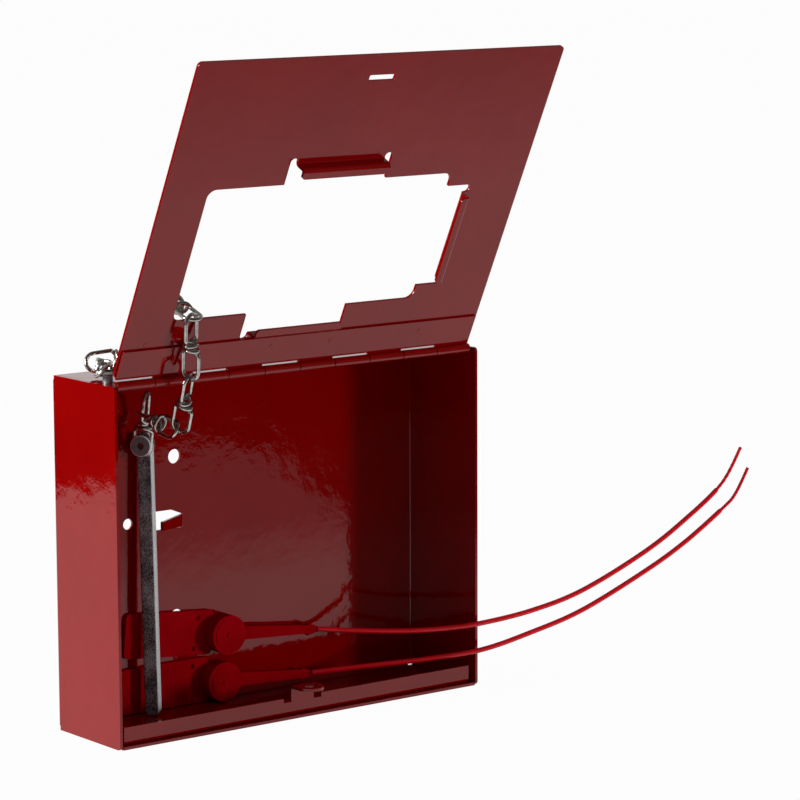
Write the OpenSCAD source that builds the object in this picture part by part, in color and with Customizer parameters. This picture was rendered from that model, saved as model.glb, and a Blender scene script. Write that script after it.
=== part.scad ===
// Break glass key box: a folded steel case with a top-hung door, a chained striker bar and two seals.
// Millimetres. The case stands on z = 0, its front faces -Y, and the origin is the centre of its base.

/* [Case] */
// Width of the case over its side walls
case_w = 150; // [140:1:200]
// Height of the case
case_h = 120; // [114:1:160]
// Depth of the case from its back to its front edges
case_d = 38; // [36:0.5:48]
// Thickness of the folded steel sheet
sheet_t = 1; // [0.8:0.1:1.4]
// Outer radius of each fold
fold_r = 1.5; // [1.5:0.1:2.5]
// Open seam between two walls at a folded corner
seam_gap = 0.25; // [0.1:0.05:0.5]
// Radius of the front corners of the side walls
front_corner_r = 1.5; // [0.5:0.1:3]

/* [Back wall] */
// Diameter of the two wall-mounting holes
wall_hole_d = 5; // [3:0.1:7]
// Distance of the wall-mounting holes from the left side of the case
wall_hole_in = 47.7; // [42:0.1:58]
// Distance between the two wall-mounting holes
wall_hole_pitch = 55.4; // [52:0.1:70]
// Diameter of the small hole beside the striker bar
small_hole_d = 3.8; // [2:0.1:5]
// Distance of the small hole from the left side of the case
small_hole_in = 28.5; // [20:0.1:34]
// Height of the small hole above the middle of the back wall
small_hole_up = 6.5; // [2:0.1:12]

/* [Key hook] */
// Height of the hook above the middle of the back wall
hook_up = 5.3; // [3:0.1:9]
// Distance of the hook's root from the left side of the case
hook_in = 50.7; // [46:0.1:60]
// Length of the hook's tongue
hook_len = 12.5; // [9:0.1:13.5]
// Height of the tongue at its root
hook_root_h = 4.2; // [3:0.1:4.6]
// Height of the tongue at its tip
hook_tip_h = 3; // [1.5:0.1:3.4]
// Angle by which the tongue is bent forward
hook_bend = 25; // [15:1:40]
// Width of the window that the tongue is cut from
hook_window_w = 13.7; // [13.7:0.1:16]
// Height of the window that the tongue is cut from
hook_window_h = 6.5; // [6:0.1:9]

/* [Catch] */
// Height of the front strip above the base
catch_h = 7; // [5:0.1:9]
// Distance of the strip's face behind the front edges of the side walls
catch_set_back = 1.8; // [1.7:0.1:3]
// Depth of the strip's flange on the floor
catch_flange = 8; // [5:0.1:12]
// Gap at each end of the strip
catch_end_gap = 1.7; // [0.5:0.1:4]
// Width of the staple
staple_w = 9.4; // [8:0.1:12]
// Height of the staple's top face above the base
staple_top = 11.2; // [10.4:0.1:13]
// Length of the staple in front of the strip
staple_reach = 9.3; // [7.5:0.1:11]
// Diameter of the hole in the staple
staple_hole_d = 4.3; // [3:0.1:5]

/* [Hinge] */
// Diameter of the hinge pin
pin_d = 1.5; // [1:0.1:1.8]
// Play of the pin in its knuckles, on the diameter
pin_play = 0.2; // [0.1:0.05:0.4]
// Thickness of the hinge leaves
leaf_t = 0.8; // [0.6:0.1:1]
// Number of knuckles
knuckle_count = 10; // [6:2:14]
// Gap between two knuckles
knuckle_gap = 0.3; // [0.2:0.05:0.6]
// Gap between each end of the hinge and the side wall
hinge_end_gap = 1.1; // [0.6:0.1:3]
// Depth of each leaf from the pin
leaf_depth = 12.5; // [9:0.1:13]

/* [Door] */
// Thickness of the door sheet
door_t = 1; // [0.8:0.1:1.2]
// Gap between the door and each side wall
door_side_gap = 0.6; // [0.4:0.1:1.5]
// Gap between the door's top edge and the hinge pin's centre
door_top_gap = 2.2; // [2:0.1:3]
// Height of the closed door's lower edge above the base
door_bottom_up = 2; // [1:0.1:4]
// Radius of the door's corners
door_corner_r = 1.5; // [0.5:0.1:4]
// Distance of the glass window from the left side of the case
window_in = 18.8; // [15:0.1:24]
// Width of the glass window
window_w = 98.3; // [90:0.1:104]
// Height of the glass window
window_h = 49.2; // [44:0.1:56]
// Distance of the window's upper edge below the hinge pin's centre
window_down = 22.1; // [22:0.1:26]
// Radius of the window's corners
window_r = 3.2; // [1:0.1:5]
// Clearance of the door slot round the staple
slot_clear = 0.5; // [0.4:0.05:0.8]

/* [Glass clips] */
// Thickness of the glass that the clips hold
glass_t = 3; // [2:0.1:4]
// Play of the glass under the clips
glass_play = 0.2; // [0.1:0.05:0.5]
// Width of the upper and lower clips
clip_w = 35; // [25:0.5:45]
// Width of the side clip
side_clip_w = 33; // [25:0.5:38]
// Distance of the upper and lower clips' middle from the window's middle
clip_shift = 0.65; // [-4:0.05:6]
// Depth of the cut that frees each clip
clip_cut = 8.2; // [7:0.1:9]
// Width of the relief slots beside each clip
relief_w = 3; // [2:0.1:4]

/* [Chain] */
// Diameter of the chain wire
wire_d = 1.35; // [1.2:0.05:1.5]
// Length of one link over its loops
link_len = 24; // [22:0.1:25]
// Width of a link's loops
link_w = 7.4; // [7:0.1:8]
// Diameter of the shank that holds each end of the chain
shank_d = 3.4; // [2.8:0.1:3.6]
// Diameter of the rivet heads
head_d = 7.2; // [6.6:0.1:8]
// Thickness of the rivet heads
head_t = 0.8; // [0.6:0.1:1.2]
// Bore of the tubular rivets
rivet_bore_d = 2.2; // [1.5:0.1:2.4]

/* [Striker bar] */
// Width of the bar
bar_w = 5.4; // [4.6:0.1:6]
// Thickness of the bar
bar_t = 3.2; // [2.6:0.1:3.8]
// Headroom above the standing bar
bar_headroom = 20.9; // [20:0.1:26]
// Distance of the bar from the left side of the case
bar_in = 33.4; // [32:0.1:36]
// Angle by which the bar is turned about its length
bar_turn = 52; // [45:1:62]
// Angle by which the bar leans back
bar_lean = 1.6; // [1:0.1:1.8]

/* [Seals] */
// Diameter of a seal's locking chamber
chamber_d = 13.7; // [12:0.1:14]
// Depth of the locking chamber
chamber_t = 6.4; // [5:0.1:8]
// Height of a seal's tag
tag_h = 15.6; // [13:0.1:16]
// Length of a seal's tag
tag_len = 36; // [30:0.5:38]
// Thickness of a seal's tag
tag_t = 1.2; // [1:0.1:1.3]
// Length of the upper seal's neck
upper_neck_len = 33; // [30:0.5:34]
// Length of the lower seal's neck
lower_neck_len = 32; // [30:0.5:34]
// Diameter of a seal's strap
strap_d = 1.9; // [1.5:0.1:2.4]

/* [Hidden] */
$fn = 64;

// Angle by which the door stands open from closed
door_open = 153.6;
// Small overlap that joins two solids of one piece
weld = 0.02;

left = -case_w / 2;
fold_inner_r = fold_r - sheet_t;
inner_left = left + sheet_t;

// Hinge
knuckle_r = 1.6;
pin_y = -(case_d - 0.1 - door_t - knuckle_r);
pin_z = case_h - sheet_t - leaf_t + knuckle_r;
top_front_y = pin_y + knuckle_r + 0.3;
hinge_len = case_w - 2 * (sheet_t + hinge_end_gap);
knuckle_pitch = hinge_len / knuckle_count;

// Catch
catch_face_y = -(case_d - catch_set_back);
staple_mid_z = staple_top - sheet_t / 2;
staple_arc_rise = 0.2;

// Door, measured down from the pin
door_len = pin_z - door_bottom_up;
door_w = case_w - 2 * (sheet_t + door_side_gap);
window_x = left + window_in + window_w / 2;
clip_lift = glass_t + glass_play + sheet_t;
clip_inner_r = 0.5;

// Striker bar
bar_x = left + bar_in;
bar_foot_gap = 0.3;
bar_len = case_h - 2 * sheet_t - bar_foot_gap - bar_headroom;
bar_foot_y = -7.4;
rivet_up = bar_len - bar_w / 2 - 1.5;
bar_seat = 2 * wire_d;
rivet_back_t = 0.6;

last_link_up = 7.6;
last_link_off = 1.42;

// Chain
loop_r = (link_w - wire_d) / 2;
coil_r = wire_d + 0.1;
coil_rise = wire_d + 0.1;
coil_end_z = coil_rise / 2;
coil_top_z = coil_end_z + coil_rise;
link_axis_len = link_len - wire_d;
chain_rivet_at = [left + 5, pin_y + 8.8, case_h];
chain_seat = 3.1;
leg_end_z = 5;
arch_z = link_len / 2 - wire_d / 2 - loop_r;
// Where the links lie: each one's middle, measured from the left end of the hinge pin's line
chain_start = [left, pin_y, pin_z];
chain_middles = [
    [7.9, 15.6, 3.9], [16.6, 19.9, 5.6], [25.5, 12.6, 15.8], [24.9, -1, 23.7],
    [26, -9, 11.4], [28, -0.9, -7.7], [28.7, 14.7, -16.2]
];
// How they lie: each one's tilt from upright, the way it points, and its roll about its length
chain_angles = [
    [94, 56, -41], [95, 163, 18], [158, 80, -29], [106, -88, -89],
    [18, -116, -15], [30, -100, 148], [82, 87, -89]
];

// Seals
seal_gap = 0.3;
seal_back_y = -sheet_t - seal_gap;

// Route of the upper strap, from its neck to its tip
upper_route = [
    [29.2, -5.4, 20.8], [41.3, -14, 20], [53.9, -23.6, 19.8], [65.1, -32.4, 20.7], [74.4, -40.4, 22.6],
    [92.9, -46, 25.6], [113.1, -50, 30.9], [138.5, -54, 42], [155.4, -57, 52.3], [171.3, -59, 63.9],
    [179.8, -60, 76.6]
];
// Route of the lower strap, from its neck to its tip
lower_route = [
    [26.6, -5.7, 5.6], [36.1, -12, 6.8], [47.5, -20, 8.2], [59.4, -28.6, 9.8], [74.4, -40.6, 13.1],
    [92.9, -46, 17.8], [113.2, -50, 23.8], [138.6, -54, 34.9], [155.5, -57, 44.1], [172.5, -59, 55.1],
    [177.5, -60, 59.9], [182.5, -61, 68.9]
];

function unit(v) = v / norm(v);
function lerp(a, b, u) = a + (b - a) * u;
function ease(u) = (1 - cos(180 * u)) / 2;

// Directions along a path of points
function directions(path) = [
    for (i = [0 : len(path) - 1])
        unit(path[min(i + 1, len(path) - 1)] - path[max(i - 1, 0)])
];

// One sideways direction for each point of a path, turned as little as possible from one to the next
function sideways(dirs, first) = [
    for (i = 0, u = unit(first - (first * dirs[0]) * dirs[0]); i < len(dirs);
         u = unit(u - (u * dirs[min(i + 1, len(dirs) - 1)]) * dirs[min(i + 1, len(dirs) - 1)]), i = i + 1)
        u
];

// A smooth curve through the points of a route
function curve_point(a, b, c, d, u) =
    0.5 * (2 * b + (c - a) * u + (2 * a - 5 * b + 4 * c - d) * u * u + (3 * b - a - 3 * c + d) * u * u * u);
function smooth_route(route, steps) = [
    for (i = [0 : len(route) - 2])
        for (k = [0 : (i == len(route) - 2 ? steps : steps - 1)])
            curve_point(route[max(i - 1, 0)], route[i], route[i + 1],
                        route[min(i + 2, len(route) - 1)], k / steps)
];

// A round rod along a path; radii holds one radius for each point
module rod(path, radii, sides, first) {
    dirs = directions(path);
    us = sideways(dirs, first);
    last = len(path) - 1;
    points = [
        for (i = [0 : last])
            for (k = [0 : sides - 1])
                path[i] + radii[i] * (cos(360 * k / sides) * us[i]
                    + sin(360 * k / sides) * cross(dirs[i], us[i]))
    ];
    walls = [
        for (i = [0 : last - 1])
            for (k = [0 : sides - 1])
                let (a = i * sides + k, b = i * sides + (k + 1) % sides)
                    each [[a, b + sides, b], [a, a + sides, b + sides]]
    ];
    first_cap = [for (k = [1 : sides - 2]) [0, k, k + 1]];
    last_cap = [for (k = [1 : sides - 2]) [last * sides, last * sides + k + 1, last * sides + k]];
    polyhedron(points, concat(walls, first_cap, last_cap));
}

// Moves what is measured from the back of the case into the part's frame
module from_back() {
    translate([0, case_d / 2, 0]) children();
}

// A rectangle with round corners, from its lower left corner
module round_rect(w, h, r) {
    translate([r, 0]) square([w - 2 * r, h]);
    translate([0, r]) square([w, h - 2 * r]);
    for (x = [r, w - r], y = [r, h - r])
        translate([x, y]) circle(r);
}

// A quarter of a folded sheet's bend, open from 90 to 180 degrees about its centre
module bend_quarter(inner, outer) {
    difference() {
        intersection() {
            circle(outer);
            translate([-outer, 0]) square(outer);
        }
        circle(inner);
    }
}

// A profile drawn in y and z, drawn out along x from the middle
module along_x(length) {
    rotate([90, 0, 90]) translate([0, 0, -length / 2]) linear_extrude(length) children();
}

// A profile drawn in x and z, drawn out towards the front
module towards_front(thickness) {
    rotate([90, 0, 0]) linear_extrude(thickness) children();
}

// The side walls in outline, with their front corners rounded
module side_wall_outline() {
    depth = case_d - fold_r + weld;
    translate([-case_d, 0]) {
        translate([0, front_corner_r]) square([depth, case_h - 2 * front_corner_r]);
        translate([front_corner_r, 0]) square([depth - front_corner_r, case_h]);
        for (z = [front_corner_r, case_h - front_corner_r])
            translate([front_corner_r, z]) circle(front_corner_r);
    }
}

// Outline of the window that the key hook is cut from, in x and z about the hook's root
module hook_window() {
    low = -hook_root_h / 2 - 0.2;
    high = low + hook_window_h;
    polygon([
        [0, low], [-hook_window_w, low], [-hook_window_w, high], [-hook_window_w * 0.34, high], [0, low + 4.6]
    ]);
}

// The key hook's tongue, bent forward out of the back wall
module hook_tongue() {
    translate([0, -sheet_t - fold_inner_r, 0]) {
        translate([0, 0, -hook_root_h / 2]) linear_extrude(hook_root_h) difference() {
            intersection() {
                circle(fold_r);
                polygon([
                    [weld, 0], [weld, 2 * fold_r], [-2 * fold_r * sin(hook_bend), 2 * fold_r * cos(hook_bend)],
                    [0, 0]
                ]);
            }
            circle(fold_inner_r);
        }
        rotate([0, 0, hook_bend]) translate([0, fold_r, 0]) towards_front(sheet_t) polygon([
            [weld, -hook_root_h / 2], [weld, hook_root_h / 2],
            [-hook_len, hook_tip_h / 2], [-hook_len, -hook_tip_h / 2]
        ]);
    }
}

// Hole for the chain's rivet through the top wall and the hinge leaf under it
module chain_rivet_hole() {
    translate(chain_rivet_at) cylinder(d = shank_d + 0.1, h = 4 * sheet_t, center = true);
}

// Folded case: back, side, top and bottom walls of one sheet, with the key hook cut out of the back
module case_shell() {
    hook_z = case_h / 2 + hook_up;
    color("firebrick") from_back() {
        difference() {
            translate([left + fold_r, 0, fold_r]) towards_front(sheet_t)
                square([case_w - 2 * fold_r, case_h - 2 * fold_r]);
            for (s = [-1, 1])
                translate([left + wall_hole_in, 0, case_h / 2 + s * wall_hole_pitch / 2])
                    rotate([90, 0, 0]) translate([0, 0, -1]) cylinder(d = wall_hole_d, h = sheet_t + 2);
            translate([left + small_hole_in, 0, case_h / 2 + small_hole_up])
                rotate([90, 0, 0]) translate([0, 0, -1]) cylinder(d = small_hole_d, h = sheet_t + 2);
            translate([left + hook_in, 1, hook_z]) towards_front(sheet_t + 2) hook_window();
        }
        translate([left + hook_in, 0, hook_z]) hook_tongue();
        for (s = [0, 1]) mirror([s, 0, 0]) {
            translate([left, 0, 0]) rotate([90, 0, 90]) linear_extrude(sheet_t) side_wall_outline();
            translate([left + fold_r, -fold_r, fold_r]) linear_extrude(case_h - 2 * fold_r)
                bend_quarter(fold_inner_r, fold_r);
        }
        flat_half = case_w / 2 - sheet_t - seam_gap;
        difference() {
            translate([-flat_half, top_front_y, case_h - sheet_t])
                cube([2 * flat_half, -fold_r - top_front_y, sheet_t]);
            chain_rivet_hole();
        }
        translate([-flat_half, -case_d, 0]) cube([2 * flat_half, case_d - fold_r, sheet_t]);
        bend_len = case_w - 2 * (fold_r + sheet_t);
        translate([0, -fold_r, case_h - fold_r]) along_x(bend_len) mirror([1, 0])
            bend_quarter(fold_inner_r, fold_r);
        translate([0, -fold_r, fold_r]) along_x(bend_len) mirror([1, 0]) mirror([0, 1])
            bend_quarter(fold_inner_r, fold_r);
    }
}

// Front strip spot-welded to the floor, with the staple that the door's slot goes over
module catch_strip() {
    half = case_w / 2 - sheet_t - catch_end_gap;
    back_y = catch_face_y + catch_flange;
    staple_front_y = catch_face_y - staple_reach + staple_w / 2;
    staple_bend_z = staple_top - fold_r;
    notch = 3.2;
    color("firebrick") from_back() {
        translate([0, 0, sheet_t]) {
            along_x(2 * half) translate([catch_face_y + fold_r, 0])
                square([back_y - catch_face_y - fold_r, sheet_t]);
            along_x(2 * half) translate([catch_face_y + fold_r, fold_r]) mirror([0, 1])
                bend_quarter(fold_inner_r, fold_r);
        }
        difference() {
            translate([-half, catch_face_y + sheet_t, sheet_t + fold_r]) towards_front(sheet_t)
                square([2 * half, catch_h - sheet_t - fold_r]);
            for (s = [-1, 1])
                translate([s * (staple_w + notch) / 2, catch_face_y, catch_h])
                    cube([notch, 4 * sheet_t, 2 * 1.5], center = true);
        }
        translate([-staple_w / 2, catch_face_y + sheet_t, catch_h - 1.5]) towards_front(sheet_t)
            square([staple_w, staple_bend_z - catch_h + 1.5]);
        along_x(staple_w) translate([catch_face_y + sheet_t - fold_r, staple_bend_z]) mirror([1, 0])
            bend_quarter(fold_inner_r, fold_r);
        translate([0, 0, staple_top - sheet_t]) difference() {
            union() {
                translate([-staple_w / 2, staple_front_y, 0])
                    cube([staple_w, catch_face_y + sheet_t - fold_r - staple_front_y, sheet_t]);
                translate([0, staple_front_y, 0]) cylinder(d = staple_w, h = sheet_t);
            }
            translate([0, staple_front_y, -1]) cylinder(d = staple_hole_d, h = sheet_t + 2);
        }
    }
}

// Knuckles of one leaf, counted from the left; first is 0 for the case leaf and 1 for the door leaf
module knuckles(first) {
    for (i = [first : 2 : knuckle_count - 1])
        translate([-hinge_len / 2 + i * knuckle_pitch + knuckle_gap / 2, 0, 0]) rotate([0, 90, 0])
            difference() {
                cylinder(r = knuckle_r, h = knuckle_pitch - knuckle_gap);
                translate([0, 0, -1]) cylinder(d = pin_d + pin_play, h = knuckle_pitch + 2);
            }
}

// Flat of one leaf in outline, with a notch for each knuckle of the other leaf
module leaf_outline(first) {
    difference() {
        translate([-hinge_len / 2 + knuckle_gap / 2, 0]) square([hinge_len - knuckle_gap, leaf_depth]);
        for (i = [1 - first : 2 : knuckle_count - 1])
            translate([-hinge_len / 2 + i * knuckle_pitch - knuckle_gap / 2, -1])
                square([knuckle_pitch + knuckle_gap, knuckle_r + 0.3 + 1]);
    }
}

// Clears the pin's way through the leaf beside the knuckles
module pin_way() {
    translate([-case_w, 0, 0]) rotate([0, 90, 0]) cylinder(d = pin_d + pin_play, h = 2 * case_w);
}

// Leaf welded under the front edge of the top wall
module hinge_case_leaf() {
    color("firebrick") from_back() translate([0, pin_y, pin_z]) difference() {
        union() {
            knuckles(0);
            translate([0, 0, -knuckle_r]) linear_extrude(leaf_t) leaf_outline(0);
        }
        pin_way();
        translate([0, -pin_y, -pin_z]) chain_rivet_hole();
    }
}

// Pin through all the knuckles
module hinge_pin() {
    pin_len = hinge_len + 0.6;
    color("silver") from_back() translate([-pin_len / 2, pin_y, pin_z]) rotate([0, 90, 0])
        cylinder(d = pin_d, h = pin_len);
}

// Swings what is drawn for the closed door, about the pin, into the open rest position
module on_door() {
    from_back() translate([0, pin_y, pin_z]) rotate([-door_open, 0, 0]) children();
}

// Leaf welded to the inner face of the door
module hinge_door_leaf() {
    color("firebrick") on_door() difference() {
        union() {
            knuckles(1);
            translate([0, -knuckle_r + leaf_t, 0]) towards_front(leaf_t) mirror([0, 1]) leaf_outline(1);
        }
        pin_way();
    }
}

// Opening cut in the door to free one clip: the cut itself and the round ends of its reliefs
module clip_opening(width) {
    full = width + 2 * relief_w;
    translate([-full / 2, 0]) square([full, clip_cut + 1]);
    for (s = [-1, 1])
        translate([s * (width + relief_w) / 2, 0]) circle(d = relief_w);
}

// One glass clip: a joggled tongue that stands off the inner face by the glass's thickness
module glass_clip(width) {
    outer = clip_inner_r + door_t;
    rise_top = clip_lift - outer;
    flat_end = clip_lift - 0.1;
    corner = 1.2;
    rotate([90, 0, 90]) translate([0, 0, -width / 2]) linear_extrude(width) {
        translate([-weld, -door_t]) square([2 * weld, door_t]);
        translate([0, clip_inner_r]) mirror([1, 0]) mirror([0, 1]) bend_quarter(clip_inner_r, outer);
        translate([clip_inner_r, clip_inner_r]) square([door_t, rise_top - clip_inner_r]);
        translate([clip_inner_r + outer, rise_top]) bend_quarter(clip_inner_r, outer);
    }
    translate([0, 0, clip_lift - door_t]) linear_extrude(door_t) {
        translate([-width / 2, clip_inner_r + outer]) square([width, flat_end - clip_inner_r - outer - corner]);
        translate([-width / 2 + corner, clip_inner_r + outer]) square([width - 2 * corner, flat_end - clip_inner_r - outer]);
        for (s = [-1, 1])
            translate([s * (width / 2 - corner), flat_end - corner]) circle(corner);
    }
}

// Places what is drawn for an upper clip at the upper, lower or right side of the window
module clip_places(side) {
    middle = window_x + clip_shift;
    if (side == "upper") translate([middle, -(window_down - clip_cut), 0]) mirror([0, 1, 0]) children();
    if (side == "lower") translate([middle, -(window_down + window_h + clip_cut), 0]) children();
    if (side == "right")
        translate([window_x + window_w / 2 + clip_cut, -(window_down + window_h / 2), 0]) rotate([0, 0, 90])
            children();
}

// Outline of the door sheet, in x and down from the pin
module door_outline() {
    slot_w = staple_w + 2 * slot_clear;
    slot_h = sheet_t + 2 * slot_clear + staple_arc_rise;
    difference() {
        translate([-door_w / 2, -door_len]) round_rect(door_w, door_len - door_top_gap, door_corner_r);
        translate([window_x - window_w / 2, -window_down - window_h]) round_rect(window_w, window_h, window_r);
        clip_places("upper") clip_opening(clip_w);
        clip_places("lower") clip_opening(clip_w);
        clip_places("right") clip_opening(side_clip_w);
        translate([-slot_w / 2, -(pin_z - staple_mid_z) - staple_arc_rise - slot_h / 2])
            round_rect(slot_w, slot_h, 0.5);
    }
}

// Door sheet with its glass window, its three glass clips and the slot for the staple
module door_panel() {
    color("brown") on_door() translate([0, -knuckle_r, 0]) {
        towards_front(door_t) door_outline();
        rotate([90, 0, 0]) mirror([0, 0, 1]) {
            clip_places("upper") glass_clip(clip_w);
            clip_places("lower") glass_clip(clip_w);
            clip_places("right") glass_clip(side_clip_w);
        }
    }
}

// Half of a link's wire: from the middle of the knot up the core, round the loop and into its coil
function half_link() = concat(
    [[0, 0, 0], [0, 0, coil_end_z]],
    [for (u = [0 : 0.25 : 0.75]) [loop_r * ease(u), 0, lerp(coil_top_z, leg_end_z, u)]],
    [for (a = [0 : 22.5 : 180]) [loop_r * cos(a), 0, arch_z + loop_r * sin(a)]],
    [
        for (u = [0 : 0.25 : 1])
            let (a = 180 + 50 * u * u, r = lerp(loop_r, coil_r, ease(u)))
                [r * cos(a), r * sin(a), lerp(leg_end_z, coil_top_z, u)]
    ],
    [
        for (u = [0.125 : 0.125 : 1])
            let (a = 230 + 360 * u)
                [coil_r * cos(a), coil_r * sin(a), lerp(coil_top_z, coil_end_z, u)]
    ]
);

// Whole wire of a link, whose second loop is turned a quarter from its first
function link_wire() =
    let (half = half_link())
        concat([for (i = [len(half) - 1 : -1 : 1]) half[i]], [for (p = half) [p.y, p.x, -p.z]]);

// One knotted link about the origin, along z
module knotted_link() {
    wire = link_wire();
    rod(wire, [for (p = wire) wire_d / 2], 6, [0, 0, 1]);
}

// One of the links between the rivet in the top wall and the striker bar, counted from the rivet
module chain_link(number) {
    angles = chain_angles[number - 1];
    color("silver") from_back() translate(chain_start + chain_middles[number - 1])
        rotate([0, angles[0], angles[1]]) rotate([0, 0, angles[2]]) knotted_link();
}
module chain_link_1() { chain_link(1); }
module chain_link_2() { chain_link(2); }
module chain_link_3() { chain_link(3); }
module chain_link_4() { chain_link(4); }
module chain_link_5() { chain_link(5); }
module chain_link_6() { chain_link(6); }
module chain_link_7() { chain_link(7); }

// Tubular rivet along z: its head above, its flared end below what it holds, its shank between
module tubular_rivet(grip, seat) {
    rotate_extrude() {
        translate([rivet_bore_d / 2, -grip - rivet_back_t])
            square([(shank_d - rivet_bore_d) / 2, grip + seat + rivet_back_t + head_t]);
        translate([rivet_bore_d / 2, -grip - rivet_back_t])
            square([(head_d * 0.78 - rivet_bore_d) / 2, rivet_back_t]);
        translate([rivet_bore_d / 2, seat]) square([(head_d - rivet_bore_d) / 2 - 0.3, head_t]);
        translate([rivet_bore_d / 2, seat]) square([(head_d - rivet_bore_d) / 2, head_t - 0.3]);
        translate([head_d / 2 - 0.3, seat + head_t - 0.3]) circle(0.3);
    }
}

// Rivet through the top wall and the hinge leaf, which holds the chain's first link
module chain_rivet() {
    color("silver") from_back() translate(chain_rivet_at) tubular_rivet(sheet_t + leaf_t, chain_seat);
}

// Places what is drawn for the upright bar, whose rivet faces -y, where the bar stands
module on_bar() {
    from_back() translate([bar_x, bar_foot_y, sheet_t + bar_foot_gap]) rotate([-bar_lean, 0, 0])
        rotate([0, 0, -bar_turn]) children();
}

// Steel striker bar with round edges and ends
module striker_bar() {
    edge_r = 0.9;
    end_r = bar_w / 2 - 0.1;
    color("dimgray") on_bar() difference() {
        intersection() {
            translate([-bar_w / 2, -bar_t / 2, 0]) linear_extrude(bar_len) round_rect(bar_w, bar_t, edge_r);
            translate([-bar_w / 2, bar_t, 0]) towards_front(2 * bar_t) round_rect(bar_w, bar_len, end_r);
        }
        translate([0, 0, rivet_up]) rotate([90, 0, 0]) translate([0, 0, -bar_t])
            cylinder(d = shank_d + 0.1, h = 2 * bar_t);
    }
}

// Rivet that holds the chain's last link on the bar
module striker_rivet() {
    color("silver") on_bar() translate([0, -bar_t / 2, rivet_up]) rotate([90, 0, 0])
        tubular_rivet(bar_t, bar_seat);
}

// Last link, round the bar's rivet and upright before the bar
module chain_link_8() {
    color("silver") on_bar() translate([0, -bar_t / 2 - last_link_off, rivet_up]) rotate([10, 0, 0]) rotate([0, 10, 0])
        translate([0, 0, last_link_up]) rotate([0, 0, 90]) knotted_link();
}

// Tag, locking chamber and strap neck of one seal, moulded in one; x and z from the chamber's middle
module seal_body(tag_slope, tag_shift, tag_rise, neck) {
    tag_r = 2;
    color("crimson") {
        translate([0, seal_back_y, 0]) {
            rotate([0, tag_slope, 0]) translate([-tag_len + tag_shift, 0, tag_rise - tag_h / 2])
                towards_front(tag_t) difference() {
                    round_rect(tag_len, tag_h, tag_r);
                    translate([tag_len - tag_shift, tag_h / 2 - tag_rise]) circle(d = chamber_d - 1);
                }
            rotate([90, 0, 0]) difference() {
                cylinder(d = chamber_d, h = chamber_t);
                translate([0, 0, chamber_t - 1.2]) cylinder(d = chamber_d - 2.4, h = 2);
            }
        }
        neck_from = chamber_d / 2 - 0.6;
        translate([0, seal_back_y - chamber_t / 2, 0]) rotate([0, neck[1], 0])
            translate([neck_from, 1.1, 0]) towards_front(2.2) polygon([
                [0, -2.4], [0, 2.4], [neck[0] - 4, 1.5], [neck[0] - 4, 2.2], [neck[0], 0.95],
                [neck[0], -0.95], [neck[0] - 4, -2.2], [neck[0] - 4, -1.5]
            ]);
    }
}

// Cap pressed into the mouth of a locking chamber
module seal_cap() {
    color("red") translate([0, seal_back_y - chamber_t + 1.2, 0]) rotate([90, 0, 0]) {
        cylinder(d = chamber_d - 2.4, h = 1.4);
        cylinder(d = 2.2, h = 1.8);
    }
}

// Strap of a seal, beaded towards its tip
module seal_strap(route) {
    path = smooth_route(route, 3);
    color("red") from_back()
        rod(path, [for (i = [0 : len(path) - 1]) strap_d / 2 * lerp(1, 0.72, i / (len(path) - 1))], 8, [0, 0, 1]);
}

upper_chamber = [-10, 0, 24.5];
lower_chamber = [-12, 0, 8.3];
module seal_upper_body() { from_back() translate(upper_chamber) seal_body(5, -3.5, 0.4, [upper_neck_len, 5.3]); }
module seal_upper_cap() { from_back() translate(upper_chamber) seal_cap(); }
module seal_upper_strap() { seal_strap(upper_route); }
module seal_lower_body() { from_back() translate(lower_chamber) seal_body(0, -3.5, 0.8, [lower_neck_len, 4.4]); }
module seal_lower_cap() { from_back() translate(lower_chamber) seal_cap(); }
module seal_lower_strap() { seal_strap(lower_route); }

case_shell();
catch_strip();
hinge_case_leaf();
hinge_pin();
hinge_door_leaf();
door_panel();
chain_rivet();
chain_link_1();
chain_link_2();
chain_link_3();
chain_link_4();
chain_link_5();
chain_link_6();
chain_link_7();
chain_link_8();
striker_bar();
striker_rivet();
seal_upper_body();
seal_upper_cap();
seal_upper_strap();
seal_lower_body();
seal_lower_cap();
seal_lower_strap();
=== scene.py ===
"""Break glass key box: a folded red case with its door open, a chained striker bar and two seals."""
import math

import bmesh
import bpy
from mathutils import Matrix, Vector


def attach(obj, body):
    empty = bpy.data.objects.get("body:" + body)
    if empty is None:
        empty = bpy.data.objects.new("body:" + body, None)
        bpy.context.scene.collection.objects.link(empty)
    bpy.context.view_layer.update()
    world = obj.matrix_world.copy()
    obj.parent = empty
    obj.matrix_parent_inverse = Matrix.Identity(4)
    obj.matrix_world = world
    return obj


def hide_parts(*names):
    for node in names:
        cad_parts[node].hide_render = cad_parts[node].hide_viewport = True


MM = 0.001

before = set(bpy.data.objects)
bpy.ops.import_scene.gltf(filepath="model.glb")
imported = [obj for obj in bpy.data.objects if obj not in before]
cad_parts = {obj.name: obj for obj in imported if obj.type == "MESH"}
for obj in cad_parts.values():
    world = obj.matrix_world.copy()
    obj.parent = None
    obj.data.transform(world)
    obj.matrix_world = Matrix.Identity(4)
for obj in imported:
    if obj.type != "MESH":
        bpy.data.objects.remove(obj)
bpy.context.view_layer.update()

# The case in millimetres; what is measured from its back is moved by half of its depth
CASE_WIDTH, CASE_DEPTH = 150, 38
# Middle of the hinge's pin, from the back of the case, and how far the open door leans forward
HINGE_PIN, DOOR_LEAN = Vector((0, -35.3, 119.8)), 26.4
# The striker bar's foot, from the back of the case, its lean and its turn
BAR_FOOT, BAR_LEAN, BAR_TURN = Vector((-41.6, -7.4, 1.3)), 1.6, 52


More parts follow.
